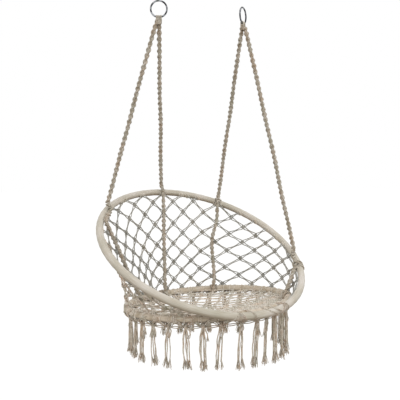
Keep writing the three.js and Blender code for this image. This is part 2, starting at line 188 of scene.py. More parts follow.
def cordMaterial(name, look):
    material, tree = emptyMaterial(name)
    uv = addNode(tree, "ShaderNodeUVMap", {"uv_map": "UVMap"})
    scale = (wavePeriod * look["plies"], wavePeriod / look["plyPitch"], 1)
    lay = addNode(tree, "ShaderNodeMapping", {"Scale": scale}, {"Vector": uv})
    plies = addNode(tree, "ShaderNodeTexWave", {**diagonalBands, "Distortion": 0.6, "Detail Scale": 2.0},
                    {"Vector": lay}).outputs["Fac"]
    place = addNode(tree, "ShaderNodeTexCoord").outputs["Object"]
    stain, speck, fibre = [
        addNode(tree, "ShaderNodeTexNoise", {"Scale": 1 / look[size], "Detail": detail}, {"Vector": place})
        for size, detail in (("stainSize", 3.0), ("speckSize", 2.0), ("fibreSize", 2.0))]
    # Ambient occlusion within the piece: painted shade where its cords lie close together, in the gap shade
    # colour
    gap = addNode(tree, "ShaderNodeAmbientOcclusion",
                  {"samples": 4, "only_local": True, "Distance": look["gap"]}).outputs["AO"]
    # The plies' ramp paints shade into the grooves and light onto the crowns of the twist
    colour = layeredColour(tree, (
        (plies, [(0.0, look["grooveShade"]), (0.55, look["cotton"]), (1.0, look["crownLight"])]),
        (stain, [(0.3, look["coolTint"]), (0.5, clear), (0.7, look["warmTint"])]),
        (speck, [(0.35, look["grime"]), (0.6, clear)]),
        (gap, [(look["gapFrom"], look["gapShade"]), (look["gapTo"], clear)])))
    relief = addNode(tree, "ShaderNodeMath", {"operation": "MULTIPLY_ADD", 1: 0.35}, {0: fibre, 2: plies})
    closeMaterial(tree, {"Roughness": 0.92, "IOR": 1.47, "Specular IOR Level": 0.25, "Sheen Weight": 0.25,
                         "Sheen Roughness": 0.6},
                  colour, relief, {"Strength": 0.6, "Distance": look["plyDepth"]})
    return material


# Cotton sleeve: a fine woven tube drawn tight over the steel, with a low satin sheen and painted shade on its
# underside
def sleeveMaterial(name, look):
    material, tree = emptyMaterial(name)
    uv = addNode(tree, "ShaderNodeUVMap", {"uv_map": "UVMap"})
    threads = wavePeriod / look["threadPitch"] / 2  # drawn coarser than real, so that the weave shows
    ribs = []
    for scale in ((0, threads, 1), (threads, 0, 1)):
        way = addNode(tree, "ShaderNodeMapping", {"Scale": scale}, {"Vector": uv})
        ribs.append(addNode(tree, "ShaderNodeTexWave", {**diagonalBands, "Distortion": 0.4},
                            {"Vector": way}).outputs["Fac"])
    weave = addNode(tree, "ShaderNodeMath", {"operation": "MULTIPLY"}, {0: ribs[0], 1: ribs[1]})
    place = addNode(tree, "ShaderNodeTexCoord")
    stain = addNode(tree, "ShaderNodeTexNoise", {"Scale": 1 / look["stainSize"], "Detail": 4.0},
                    {"Vector": place.outputs["Object"]})
    slub = addNode(tree, "ShaderNodeMapping", {"Scale": (1 / look["slubLength"], 1 / look["slubWidth"], 1)},
                   {"Vector": uv})
    streak = addNode(tree, "ShaderNodeTexNoise", {"Scale": 1.0, "Detail": 2.0}, {"Vector": slub})
    # The last ramp paints shade on the side that faces down, in the under colour, fading out by underTo
    facing = addNode(tree, "ShaderNodeSeparateXYZ", links={"Vector": place.outputs["Normal"]}).outputs["Z"]
    height = addNode(tree, "ShaderNodeMapRange", {"From Min": -1.0, "From Max": 1.0}, {"Value": facing})
    colour = layeredColour(tree, (
        (stain, [(0.3, look["dark"]), (0.5, look["cotton"]), (0.72, look["pale"])]),
        (streak, [(0.3, look["slub"]), (0.65, clear)]),
        (height, [(0.04, look["under"]), (look["underTo"], clear)])))
    relief = addNode(tree, "ShaderNodeMath", {"operation": "MULTIPLY_ADD", 1: 0.5}, {0: streak, 2: weave})
    closeMaterial(tree, {"Roughness": 0.62, "IOR": 1.47, "Specular IOR Level": 0.4, "Sheen Weight": 0.2,
                         "Sheen Roughness": 0.5},
                  colour, relief, {"Strength": 0.5, "Distance": look["threadDepth"]})
    return material


# Bright-drawn steel wire, nickel plated: polished, with painted dark and bright reflections in patches over
# its colour
def platedMaterial(name, look):
    material, tree = emptyMaterial(name)
    place = addNode(tree, "ShaderNodeTexCoord").outputs["Object"]
    streak, scuff = [
        addNode(tree, "ShaderNodeTexNoise", {"Scale": 1 / look[size], "Detail": detail}, {"Vector": place})
        for size, detail in (("paintedReflectionSize", 1.0), ("scuffSize", 3.0))]
    # Noise patches of darker and brighter steel colour are painted dark and bright reflections
    colour = layeredColour(tree, ((streak, [(0.38, look["paintedDarkReflection"]), (0.5, look["steel"]),
                                            (0.62, look["bright"])]),))
    scuffed = look["roughness"] * look["scuffs"]
    rough = addNode(tree, "ShaderNodeMapRange", {"To Min": look["roughness"], "To Max": scuffed},
                    {"Value": scuff})
    shader = addNode(tree, "ShaderNodeBsdfPrincipled", {"Metallic": 1.0},
                     {"Base Color": colour, "Roughness": rough})
    addNode(tree, "ShaderNodeOutputMaterial", links={"Surface": shader})
    return material


# Powder-coated steel tube, all but hidden in the sleeve
def coatedMaterial(name, look):
    material, tree = emptyMaterial(name)
    place = addNode(tree, "ShaderNodeTexCoord").outputs["Object"]
    peel = addNode(tree, "ShaderNodeTexNoise", {"Scale": 1 / look["peelSize"], "Detail": 1.0},
                   {"Vector": place})
    colour = layeredColour(tree, ((peel, [(0.3, look["dark"]), (0.7, look["coat"])]),))
    closeMaterial(tree, {"Roughness": 0.45, "IOR": 1.5}, colour, peel,
                  {"Strength": 0.3, "Distance": look["peelDepth"]})
    return material


cordLook = {
    "plies": 3,
    "plyPitch": 0.004,
    "plyDepth": 0.0003,
    "stainSize": 0.05,
    "speckSize": 0.010,
    "fibreSize": 0.0012,
    # The gap distance and the gapFrom and gapTo bounds set the painted shade where cords lie close; each
    # finish's gapShade is its colour
    "gap": 0.005,
    "gapFrom": 0.20,
}
# In each finish the groove colour is painted shade and the crown colour is painted light on the plies
ropeFinish = cordMaterial("suspension_rope_cotton", {
    **cordLook, "cotton": "#d2cabc", "grooveShade": "#ada393", "crownLight": "#e4ded3", "coolTint": "#eef1ec",
    "warmTint": "#fdf0e6", "grime": "#d3cabd", "gapFrom": 0.25, "gapTo": 0.80, "gapShade": "#6f6453",
    "plyPitch": 0.0045, "plyDepth": 0.0004})
netFinish = cordMaterial("net_cord_cotton", {
    **cordLook, "cotton": "#b9b7b0", "grooveShade": "#9a9890", "crownLight": "#cbc9c3", "coolTint": "#eceff0",
    "warmTint": "#faf4ec", "grime": "#d2cfc8", "gap": 0.003, "gapTo": 0.75, "gapShade": "#adaaa2",
    "stainSize": 0.08, "speckSize": 0.014})
seatFinish = cordMaterial("seat_net_cotton", {
    **cordLook, "cotton": "#eae3d8", "grooveShade": "#cfc5b6", "crownLight": "#f3eee6", "coolTint": "#f1f3ef",
    "warmTint": "#fff3ea", "grime": "#e3ddd2", "gapTo": 0.70, "gapShade": "#97896f"})
fringeFinish = cordMaterial("fringe_cotton", {
    **cordLook, "cotton": "#ded5c8", "grooveShade": "#bfb4a5", "crownLight": "#ebe5db", "coolTint": "#e9eee4",
    "warmTint": "#fdebe0", "grime": "#d6ccbf", "gap": 0.004, "gapTo": 0.75, "gapShade": "#5c4d37",
    "stainSize": 0.03, "fibreSize": 0.001})
tasselFinish = cordMaterial("tassel_cotton", {
    **cordLook, "cotton": "#ddd4c7", "grooveShade": "#c6bcae", "crownLight": "#ebe5db", "coolTint": "#eef1ea",
    "warmTint": "#fdeee2", "grime": "#ddd5c9", "gap": 0.004, "gapFrom": 0.15, "gapTo": 0.70,
    "gapShade": "#8f8168", "stainSize": 0.03, "fibreSize": 0.001})
# Each sleeve's under colour is painted shade on its downward-facing side
backSleeveFinish = sleeveMaterial("back_sleeve_cotton", {
    "cotton": "#cbc5b9", "dark": "#bcb7a8", "pale": "#d8d2cb", "slub": "#e6e0d6", "under": "#b9a893",
    "underTo": 0.52, "threadPitch": 0.0012, "threadDepth": 0.00015, "stainSize": 0.09,
    "slubLength": 0.05, "slubWidth": 0.002})
seatSleeveFinish = sleeveMaterial("seat_sleeve_cotton", {
    "cotton": "#cfc4b3", "dark": "#b5a893", "pale": "#dbd2c5", "slub": "#e4dacd", "under": "#5c4a35",
    "underTo": 0.42, "threadPitch": 0.0012, "threadDepth": 0.0002, "stainSize": 0.04,
    "slubLength": 0.03, "slubWidth": 0.002})
# The ring's darker and brighter colours are painted dark and bright reflections
ringFinish = platedMaterial("plated_ring_steel", {
    "steel": "#4c4e50", "paintedDarkReflection": "#1f2022", "bright": "#85878a", "paintedReflectionSize": 0.014,
    "scuffSize": 0.002, "roughness": 0.14, "scuffs": 2.2})
tubeFinish = coatedMaterial("coated_tube_steel", {
    "coat": "#9a9c9e", "dark": "#8b8d8f", "peelSize": 0.002, "peelDepth": 0.0001})
for node in ("back_hoop_tube", "seat_hoop_tube"):
    tube = frame["nodes"][node]
    for part in [tube, *tube.children_recursive]:
        if part.type == "MESH":
            part.data.materials.clear()
            part.data.materials.append(tubeFinish)
print("materials made")

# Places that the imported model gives: the hoops' centres and radii, and the rings' lower wires
hoopLook = {
    "sleeveRadius": 0.013,
    "modelFacets": 8,
    "backTilt": 28,
    "seatTilt": -6,
}
frontAngle = 270  # angles round a hoop count from the right, by the rear at 90 and the left at 180
rightward = np.array((1.0, 0.0, 0.0))
upward = np.array((0.0, 0.0, 1.0))


def hoopFrom(node, tilt):
    low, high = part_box(node)
    reach = hoopLook["sleeveRadius"] * math.cos(math.pi / hoopLook["modelFacets"])
    up = np.array((0, math.cos(math.radians(tilt)), math.sin(math.radians(tilt))))
    return {"centre": np.array((low + high) / 2), "radius": (high.x - low.x) / 2 - reach, "up": up,
            "normal": np.cross(rightward, up)}


backHoop = hoopFrom("back_hoop_sleeve", hoopLook["backTilt"])
seatHoop = hoopFrom("seat_hoop_sleeve", hoopLook["seatTilt"])


def radial(hoop, degrees):
    angle = math.radians(degrees)
    return rightward * math.cos(angle) + hoop["up"] * math.sin(angle)


def hoopPoint(hoop, degrees):
    return hoop["centre"] + radial(hoop, degrees) * hoop["radius"]


def hoopTangent(hoop, degrees):
    return radial(hoop, degrees + 90)


# Paths: smoothing, even steps and side directions carried along without twist
smoothSteps = 12  # points between two controls before the path is cut into even steps


def smoothPath(controls, step):
    controls = np.array(controls, float)
    padded = np.vstack([2 * controls[0] - controls[1], controls, 2 * controls[-1] - controls[-2]])
    shares = np.linspace(0, 1, smoothSteps, endpoint=False)[:, None]
    dense = []
    for k in range(len(controls) - 1):
        before, start, end, after = padded[k:k + 4]
        dense.append(0.5 * (2 * start + (end - before) * shares
                            + (2 * before - 5 * start + 4 * end - after) * shares ** 2
                            + (3 * start - before - 3 * end + after) * shares ** 3))
    return evenSteps(np.vstack(dense + [controls[-1:]]), step)


def evenSteps(points, step):
    runs = np.concatenate([[0], np.cumsum(np.linalg.norm(np.diff(points, axis=0), axis=1))])
    stops = np.linspace(0, runs[-1], max(3, int(round(runs[-1] / step)) + 1))
    return np.column_stack([np.interp(stops, runs, points[:, axis]) for axis in range(3)])


def pathFrames(path, firstSide):
    tangents = np.gradient(path, axis=0)
    tangents /= np.linalg.norm(tangents, axis=1)[:, None]
    side = np.asarray(firstSide, float)
    sides = np.empty_like(path)
    for k, tangent in enumerate(tangents):
        side = unit(side - tangent * side.dot(tangent))
        sides[k] = side
    return sides, np.cross(tangents, sides)


def arcPoints(centre, across, along, acrossReach, alongReach, start, end, count):
    angles = np.radians(np.linspace(start, end, count))[:, None]
    return centre + across * acrossReach * np.cos(angles) + along * alongReach * np.sin(angles)


def loopPoints(centre, across, along, acrossReach, alongReach, count):
    return arcPoints(centre, across, along, acrossReach, alongReach, 0, 360 * (1 - 1 / count), count)


# Pieces: a mesh with its finish; the model's node it replaces is hidden, and a piece that moves with one body
# is attached to it
mergeReach = {"cords": 2e-7, "hoops": 1e-6}


def addPiece(name, mesh, finish):
    mesh.name = name
    mesh.shade_smooth()
    mesh.materials.clear()
    mesh.materials.append(finish)
    return addObject(name, mesh)


def settle(piece, replaced, body):
    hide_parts(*replaced)
    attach(piece, body)


def settleAcross(piece, slotName, replaced, bodies, start, end):
    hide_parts(*replaced)
    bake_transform(piece)


# Cords of one piece become one mesh: strands are (points, radius, closed), mapped in metres along them
def makeCords(name, strands, finish, sides=6):
    curve = bpy.data.curves.new(name, "CURVE")
    curve.dimensions = "3D"
    curve.bevel_depth = 1.0
    curve.bevel_resolution = (sides - 4) // 2
    curve.use_fill_caps = True
    lengths, counts = [], []
    for points, radius, closed in strands:
        spline = curve.splines.new("POLY")
        spline.points.add(len(points) - 1)
        homogeneous = np.ones((len(points), 4))
        homogeneous[:, :3] = points
        spline.points.foreach_set("co", homogeneous.ravel())
        spline.points.foreach_set("radius", np.full(len(points), radius))
        spline.use_cyclic_u = closed
        lengths.append(np.linalg.norm(np.diff(points, axis=0), axis=1).sum())
        counts.append(sides * (len(points) + (0 if closed else 2)))
    holder = addObject(name + "_curve", curve)
    mesh = bpy.data.meshes.new_from_object(holder.evaluated_get(bpy.context.evaluated_depsgraph_get()))
    bpy.data.objects.remove(holder)
    bpy.data.curves.remove(curve)
    if sum(counts) != len(mesh.vertices):
        raise RuntimeError(f"{name}: {sum(counts)} vertices expected, {len(mesh.vertices)} made")
    perVertex = np.repeat(lengths, counts)
    corners = np.empty(len(mesh.loops), int)
    mesh.loops.foreach_get("vertex_index", corners)
    layer = mesh.uv_layers["UVMap"].uv
    flat = np.empty(len(mesh.loops) * 2, np.float32)
    layer.foreach_get("vector", flat)
    flat[1::2] *= perVertex[corners]
    layer.foreach_set("vector", flat)
    work = bmesh.new()
    work.from_mesh(mesh)
    bmesh.ops.remove_doubles(work, verts=work.verts, dist=mergeReach["cords"])
    work.to_mesh(mesh)
    work.free()
    return addPiece(name, mesh, finish)


# A round section spun to a hoop that lies flat round the origin
def spunHoop(radius, thickness, sides, steps):
    work = bmesh.new()
    section = bmesh.ops.create_circle(work, segments=sides, radius=thickness)["verts"]
    bmesh.ops.rotate(work, verts=section, cent=(0, 0, 0), matrix=Matrix.Rotation(math.pi / 2, 3, "X"))
    bmesh.ops.translate(work, verts=section, vec=(radius, 0, 0))
    bmesh.ops.spin(work, geom=work.verts[:] + work.edges[:], cent=(0, 0, 0), axis=(0, 0, 1),
                   angle=math.tau, steps=steps, use_merge=True)
    bmesh.ops.remove_doubles(work, verts=work.verts, dist=mergeReach["hoops"])
    bmesh.ops.recalc_face_normals(work, faces=work.faces)
    return work


def standHoop(work, name, finish, centre, axes):
    stand = Matrix(axes).transposed().to_4x4()
    bmesh.ops.transform(work, verts=work.verts, matrix=Matrix.Translation(centre) @ stand)
    mesh = bpy.data.meshes.new(name)
    work.to_mesh(mesh)
    work.free()
    return addPiece(name, mesh, finish)


# Hanging rings: round wire bent to a ring and welded, each turned as it hangs
ringLook = {
    "radius": 0.029,
    "wire": 0.003,
    "turns": {"left": -36.4, "right": 26.6},
    "wireSides": 20,
    "steps": 96,
    "weldSwell": 0.10,
    "weldAngle": 150,
    "weldSpan": 9,
}
rings = {}
for side, turn in ringLook["turns"].items():
    low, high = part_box(f"{side}_hanging_ring")
    centre = np.array((low + high) / 2)
    along = np.array((math.cos(math.radians(turn)), math.sin(math.radians(turn)), 0))
    rings[side] = {"centre": centre, "along": along, "across": np.cross(upward, along),
                   "wire": centre - upward * ringLook["radius"]}


def makeRing(side):
    ring = rings[side]
    work = spunHoop(ringLook["radius"], ringLook["wire"], ringLook["wireSides"], ringLook["steps"])
    for vert in work.verts:
        away = math.degrees(math.atan2(vert.co.y, vert.co.x)) - ringLook["weldAngle"]
        swell = 1 + ringLook["weldSwell"] * math.exp(-(away / ringLook["weldSpan"]) ** 2)
        core = Vector((vert.co.x, vert.co.y, 0)).normalized() * ringLook["radius"]
        vert.co = core + (vert.co - core) * swell
    piece = standHoop(work, f"{side}_ring_wire", ringFinish, ring["centre"],
                      (ring["along"], upward, -ring["across"]))
    settle(piece, [f"{side}_hanging_ring"], "hanging_rings")


for side in rings:
    makeRing(side)
print("rings made")

# Sleeves: a seamed cotton tube round each hoop, mapped in metres along and round it
sleeveLook = {
    "steps": 240,
    "sides": 24,
    "wall": 0.0012,
    "ripple": 0.0003,
    "rippleLength": 0.035,
}


def makeSleeve(which, hoop, finish):
    radius = hoop["radius"]

    def turnAndRoll(place):
        return (math.atan2(place.y, place.x),
                math.atan2(place.z, math.hypot(place.x, place.y) - radius))

    work = spunHoop(radius, hoopLook["sleeveRadius"], sleeveLook["sides"], sleeveLook["steps"])
    layer = work.loops.layers.uv.new("UVMap")
    for face in work.faces:
        middle = turnAndRoll(face.calc_center_median())
        for loop in face.loops:
            turn, roll = [angle + math.tau * round((near - angle) / math.tau)
                          for angle, near in zip(turnAndRoll(loop.vert.co), middle)]
            loop[layer].uv = (turn * radius, roll * hoopLook["sleeveRadius"])
    waves = round(math.tau * radius / sleeveLook["rippleLength"])
    for vert in work.verts:
        turn = math.atan2(vert.co.y, vert.co.x)
        core = Vector((math.cos(turn), math.sin(turn), 0)) * radius
        vert.co += (vert.co - core).normalized() * sleeveLook["ripple"] * math.sin(waves * turn)
    piece = standHoop(work, f"{which}_sleeve_cloth", finish, hoop["centre"],
                      (rightward, hoop["up"], hoop["normal"]))
    wall = piece.modifiers.new("wall", "SOLIDIFY")
    wall.thickness = sleeveLook["wall"]
    wall.offset = -1
    settle(piece, [f"{which}_hoop_sleeve"], f"{which}_frame")


makeSleeve("back", backHoop, backSleeveFinish)
makeSleeve("seat", seatHoop, seatSleeveFinish)
print("sleeves made")

# Braided ropes: half knots tied one way round a core, so the braid turns as it runs
ropeLook = {
    "knotPitch": 0.0044,
    "turnPerKnot": 38.6,
    "halfWide": 0.0070,
    "halfDeep": 0.0036,
    "cord": 0.0024,
    "ridgeCord": 0.0020,
    "ridgeBeat": 0.0007,
    "stepsPerKnot": 5,
    "swells": (0.07, 0.05),
    "swellRates": (0.43, 0.171),
    "twistDrift": 0.35,
    "twistRate": 0.11,
    "wander": 0.0012,
    "wanderRates": (0.09, 0.07),
    "crotchDrop": 0.012,
    "legSpread": 0.005,
    "legLength": 0.048,
    "legBow": 0.001,
    "headBow": 0.004,
    "tieStub": 0.036,
    "dropInset": 0.019,
    "wavyDrop": "right_rear",
    "waveReach": 0.007,
    "waves": ((0, 0), (0.06, 0.2), (0.2, -0.4), (0.42, -2.3), (0.62, -1.8), (0.8, -0.7), (0.95, 0), (1, 0)),
}
ropePlaces = {
    "left_side": {"backAngle": 138.5, "dropAngle": 150, "seatAngle": 124, "ring": "left"},
    "left_rear": {"backAngle": 85.7, "dropAngle": 85.7, "seatAngle": 92.5, "ring": "left"},
    "right_rear": {"backAngle": 47, "dropAngle": 47, "seatAngle": 48.5, "ring": "right"},
    "right_side": {"backAngle": 336, "dropAngle": 329, "seatAngle": 319, "ring": "right"},
}
for rope in ropePlaces.values():
    wire = rings[rope["ring"]]["wire"]
    rope["backPlace"] = hoopPoint(backHoop, rope["backAngle"])
    rope["dropPlace"] = hoopPoint(backHoop, rope["dropAngle"])
    rope["seatPlace"] = hoopPoint(seatHoop, rope["seatAngle"])
    rope["aside"] = unit((rope["backPlace"] - wire) * (1, 1, 0))
    rope["crotch"] = wire - upward * ropeLook["crotchDrop"] + rope["aside"] * ropeLook["legSpread"]
    rope["rise"] = unit(rope["crotch"] - rope["backPlace"])
    rope["fall"] = unit(rope["seatPlace"] - rope["dropPlace"])
    rope["inward"] = unit(np.cross(hoopTangent(backHoop, rope["dropAngle"]), rope["fall"]))
    rope["dropTop"] = rope["dropPlace"] + rope["inward"] * ropeLook["dropInset"]
    rope["dropFoot"] = rope["seatPlace"] + rope["inward"] * ropeLook["dropInset"]


def braid(path, firstSide, seed, firstKnot=0.0):
    rng = np.random.default_rng(seed)
    path = evenSteps(path, ropeLook["knotPitch"] / ropeLook["stepsPerKnot"])
    sides, others = pathFrames(path, firstSide)
    knots = firstKnot + np.arange(len(path)) / ropeLook["stepsPerKnot"]

    def slowWave(rate):
        return np.sin(knots * rate + rng.uniform(0, 6))

    swell = np.ones(len(path))
    for reach, rate in zip(ropeLook["swells"], ropeLook["swellRates"]):
        swell += reach * slowWave(rate)
    twist = (np.radians(ropeLook["turnPerKnot"]) * knots
             + ropeLook["twistDrift"] * slowWave(ropeLook["twistRate"]))
    wide = sides * np.cos(twist)[:, None] + others * np.sin(twist)[:, None]
    deep = others * np.cos(twist)[:, None] - sides * np.sin(twist)[:, None]
    drift = ropeLook["wander"] * np.sin(np.pi * np.linspace(0, 1, len(path)))
    for way, rate in zip((sides, others), ropeLook["wanderRates"]):
        path = path + way * (drift * slowWave(rate))[:, None]
    strands = []
    for start in (0, math.pi):
        around = np.pi * knots + start
        reachWide = ropeLook["halfWide"] * swell * np.cos(around)
        reachDeep = ropeLook["halfDeep"] * swell * np.sin(around)
        line = path + wide * reachWide[:, None] + deep * reachDeep[:, None]
        strands.append((line, ropeLook["cord"], False))
    for start in (0, math.pi):
        reach = ropeLook["halfWide"] * swell + ropeLook["ridgeBeat"] * np.cos(2 * math.pi * knots + start)
        beat = ropeLook["ridgeBeat"] * 2 * np.sin(2 * math.pi * knots)
        line = path + wide * (reach * math.cos(start))[:, None] + deep * beat[:, None]
        strands.append((line[::2], ropeLook["ridgeCord"], False))
    strands.append((path[::4], ropeLook["halfDeep"] - ropeLook["cord"] * 0.3, False))
    return strands


def upperPath(rope):
    legEnd = rope["crotch"] - rope["rise"] * ropeLook["legLength"] + rope["aside"] * ropeLook["headBow"]
    foot = rope["backPlace"] + rope["rise"] * ropeLook["tieStub"]
    middle = legEnd + (foot - legEnd) * 0.3 + rope["aside"] * ropeLook["headBow"] * 0.3
    return smoothPath([legEnd, middle, foot], ropeLook["knotPitch"])


for number, (name, rope) in enumerate(ropePlaces.items()):
    firstKnot = ropeLook["legLength"] / ropeLook["knotPitch"]
    piece = makeCords(f"{name}_rope_braid", braid(upperPath(rope), rightward, number, firstKnot), ropeFinish)
    settle(piece, [f"{name}_rope"], "back_frame")

    top = rope["dropTop"] + rope["fall"] * ropeLook["tieStub"]
    bottom = rope["dropFoot"] - rope["fall"] * ropeLook["tieStub"]
    aside = np.cross(rope["inward"], rope["fall"]) * ropeLook["waveReach"] * (name == ropeLook["wavyDrop"])
    controls = [top + (bottom - top) * share + aside * reach for share, reach in ropeLook["waves"]]
    path = smoothPath(controls, ropeLook["knotPitch"])
    piece = makeCords(f"{name}_drop_braid", braid(path, rightward, number + 4), ropeFinish)
    settleAcross(piece, "rope_cotton", [f"{name}_drop_rope"], ("back_frame", "seat_frame"),
                 rope["dropTop"], rope["dropFoot"])
print("ropes made")

# Rope heads: the ropes' cords looped over the ring's lower wire and whipped together below it
headLook = {
    "loops": 5,
    "loopPitch": 0.0041,
    "shoulder": 0.008,
    "gather": 0.35,
    "below": 0.026,
    "cord": 0.0020,
    "loopStep": 0.0025,
    "whippings": 5,
    "whipPitch": 0.0040,
    "whipTop": 0.006,
    "taper": 0.14,
    "halfWide": 0.0096,
    "halfDeep": 0.0070,
    "bendTop": 0.004,
}


def makeHead(side):
    ring = rings[side]
    rng = np.random.default_rng(20 + len(side))
    strands = []
    over = ringLook["wire"] + headLook["cord"]
    for k in range(headLook["loops"]):
        offset = (k - (headLook["loops"] - 1) / 2) * headLook["loopPitch"]
        lift = ringLook["radius"] - math.sqrt(ringLook["radius"] ** 2 - offset ** 2)
        centre = ring["wire"] + ring["along"] * offset + upward * lift
        arch = arcPoints(centre, ring["across"], upward, over, over, 0, 180, 9)
        legs = [centre + ring["across"] * over * way - upward * headLook["below"]
                - ring["along"] * offset * headLook["gather"] for way in (1, -1)]
        shoulders = [arch[end] - upward * headLook["shoulder"] for end in (0, -1)]
        controls = np.vstack([legs[0], shoulders[0], arch, shoulders[1], legs[1]])
        strands.append((smoothPath(controls, headLook["loopStep"]), headLook["cord"], False))
    for k in range(headLook["whippings"]):
        drop = headLook["whipTop"] + k * headLook["whipPitch"]
        narrow = 1 - headLook["taper"] * k / headLook["whippings"] + rng.uniform(-0.03, 0.03)
        lean = unit(ring["along"] + upward * rng.uniform(-0.06, 0.06))
        strands.append((loopPoints(ring["wire"] - upward * drop, lean, ring["across"],
                                   headLook["halfWide"] * narrow, headLook["halfDeep"] * narrow, 22),
                        headLook["cord"], True))
    for number, rope in enumerate(ropePlaces.values()):
        if rope["ring"] == side:
            end = upperPath(rope)[0]
            middle = (rope["crotch"] + end) / 2 + rope["aside"] * ropeLook["legBow"]
            leg = smoothPath([rope["crotch"], middle, end], ropeLook["knotPitch"])
            strands += braid(leg, rightward, number)
    piece = makeCords(f"{side}_rope_head_cords", strands, ropeFinish)
    lowest = rings[side]["wire"] - upward * (ropeLook["crotchDrop"] + ropeLook["legLength"])
    settleAcross(piece, "rope_cotton", [f"{side}_rope_head"], ("hanging_rings", "back_frame"),
                 ring["wire"] - upward * headLook["bendTop"], lowest)


for side in rings:
    makeHead(side)
print("rope heads made")

# Ties: the braid crosses inside the hoop, on the right under several turns of cord
tieLook = {
    "cord": 0.0024,
    "turnPitch": 0.0048,
    "braidSide": 0.021,
    "bandGap": 0.009,
    "holdMargin": 0.006,
    "turns": {"left": 0, "right": 2},
    "seatTurns": 2,
    "overlap": 0.002,
    "endRun": 0.016,
}


def tieTurns(hoop, degrees, inward, rng, turns):
    centre = hoopPoint(hoop, degrees)
    tangent = hoopTangent(hoop, degrees)
    out = unit(-inward - tangent * tangent.dot(-inward))
    side = np.cross(tangent, out)
    cord = tieLook["cord"]
    hold = tieLook["braidSide"] - tieLook["holdMargin"]  # the crossings reach further, to hold the braid
    around = hoopLook["sleeveRadius"] + cord
    strands = []
    for way in (-1, 1):
        for k in range(turns):
            offset = way * (tieLook["bandGap"] + k * tieLook["turnPitch"])
            lean = tangent * rng.uniform(-0.14, 0.14)
            strands.append((loopPoints(centre + tangent * offset, unit(out + lean), side, around, around, 20),
                            cord, True))
        for k in range(min(turns, 2)):
            cross = unit(side + tangent * way * (0.55 - 0.16 * k))
            strands.append((loopPoints(centre - out * hold / 2, out, cross, around + hold / 2 + cord * 0.4,
                                       around + cord * (0.3 + k), 24), cord, True))
    return strands


def makeTie(node, controls, seed, turns, body):
    strands = braid(smoothPath(controls, ropeLook["knotPitch"]), rightward, seed) + turns
    settle(makeCords(f"{node}_cords", strands, ropeFinish), [node], body)


for number, (name, rope) in enumerate(ropePlaces.items()):
    rng = np.random.default_rng(40 + number)
    inward, rise, fall = rope["inward"], rope["rise"], rope["fall"]
    stub, side = ropeLook["tieStub"], tieLook["braidSide"]
    backPlace, dropTop, turnAngle = rope["backPlace"], rope["dropTop"], rope["backAngle"]
    controls = [backPlace + rise * stub,
                backPlace + rise * stub * 0.62 + inward * side * 0.55,
                backPlace + inward * side,
                dropTop + fall * stub * 0.55 + inward * tieLook["overlap"],
                dropTop + fall * stub]
    if np.linalg.norm(rope["dropPlace"] - backPlace) > stub:
        controls[3:4] = [rope["dropPlace"] + inward * side, dropTop + fall * stub * 0.6]
        turnAngle = rope["dropAngle"]
    turns = tieTurns(backHoop, turnAngle, inward, rng, tieLook["turns"][rope["ring"]])
    makeTie(f"{name}_hoop_tie", controls, number + 8, turns, "back_frame")

    controls = [rope["dropFoot"] - fall * stub,
                rope["dropFoot"] - fall * stub * 0.5 + inward * tieLook["overlap"],
                rope["seatPlace"] + inward * side,
                rope["seatPlace"] + fall * tieLook["endRun"] + inward * side * 0.7]
    turns = tieTurns(seatHoop, rope["seatAngle"], inward, rng, tieLook["seatTurns"])
    makeTie(f"{name}_seat_tie", controls, number + 12, turns, "seat_frame")
print("ties made")

# Knotted nets: square knots joined by pairs of cords that bow apart beside each knot
netLook = {
    # a half column of knots, counted from the right front, with its angles on the back hoop and the seat hoop
    "stations": (
        (0, -53, -62), (3, -17, -28), (5, -1, -3), (7, 17, 17), (9, 36, 41.5), (11, 56, 61), (14, 78, 81),
        (17, 101, 98.5), (21, 135, 110), (26, 178, 143), (30, 227, 184), (34, 247, 230)),
    "rows": 10,
    "lowestRow": 0.018,
    "rearPitch": 0.0342,
    "rearGrowth": 0.00078,
    "rightPitch": 0.0383,
    "rightGrowth": -0.00073,
    "rightColumn": 6,
    "rearColumn": 12,
    "rimKnotGap": 0.004,
    "rimSpread": 0.2,
    "rimInset": 0.014,
    "footOutset": 0.013,
    "bulge": 0.002,
    "bulgeLow": 0.7,
    "waist": 0.013,
    "waistFrom": 15,
    "waistOver": 7,
    "cord": 0.0020,
    "knotHalf": 0.0070,
    "knotDepth": 0.0038,
    "knotBars": 4,
    "pairGap": 0.0018,
    "bow": 0.0013,
    "stray": 0.0015,
    "shadedFrom": 24,
}
knotLook = {
    "barPitch": 2.7,
    "cordSide": 0.0026,
    "cordReach": 0.0034,
}
netColumns = netLook["stations"][-1][0] + 1
stripColumns = 2
stripCount = math.ceil(netColumns / stripColumns)
bowShares = np.array((0.0, 0.07, 0.16, 0.27, 0.4, 0.5, 0.6, 0.73, 0.84, 0.93, 1.0))
bowReaches = np.array((1.5, 1.9, 1.6, 0.8, 0.1, 0.0, 0.1, 0.8, 1.6, 1.9, 1.5))


def stationAngle(column, which):
    for before, after in zip(netLook["stations"], netLook["stations"][1:]):
        if column <= after[0]:
            break
    share = (column - before[0]) / (after[0] - before[0])
    return before[which] + (after[which] - before[which]) * share


def wallLine(column):
    rimAngle, footAngle = stationAngle(column, 1), stationAngle(column, 2)
    top = hoopPoint(backHoop, rimAngle) - radial(backHoop, rimAngle) * netLook["rimInset"]
    foot = hoopPoint(seatHoop, footAngle) + radial(seatHoop, footAngle) * netLook["footOutset"]
    up = unit(top - foot)
    along = unit(hoopTangent(backHoop, rimAngle) + hoopTangent(seatHoop, footAngle))
    return {"rimAngle": rimAngle, "footAngle": footAngle, "top": top, "foot": foot, "up": up,
            "length": np.linalg.norm(top - foot), "outward": unit(np.cross(along, up))}


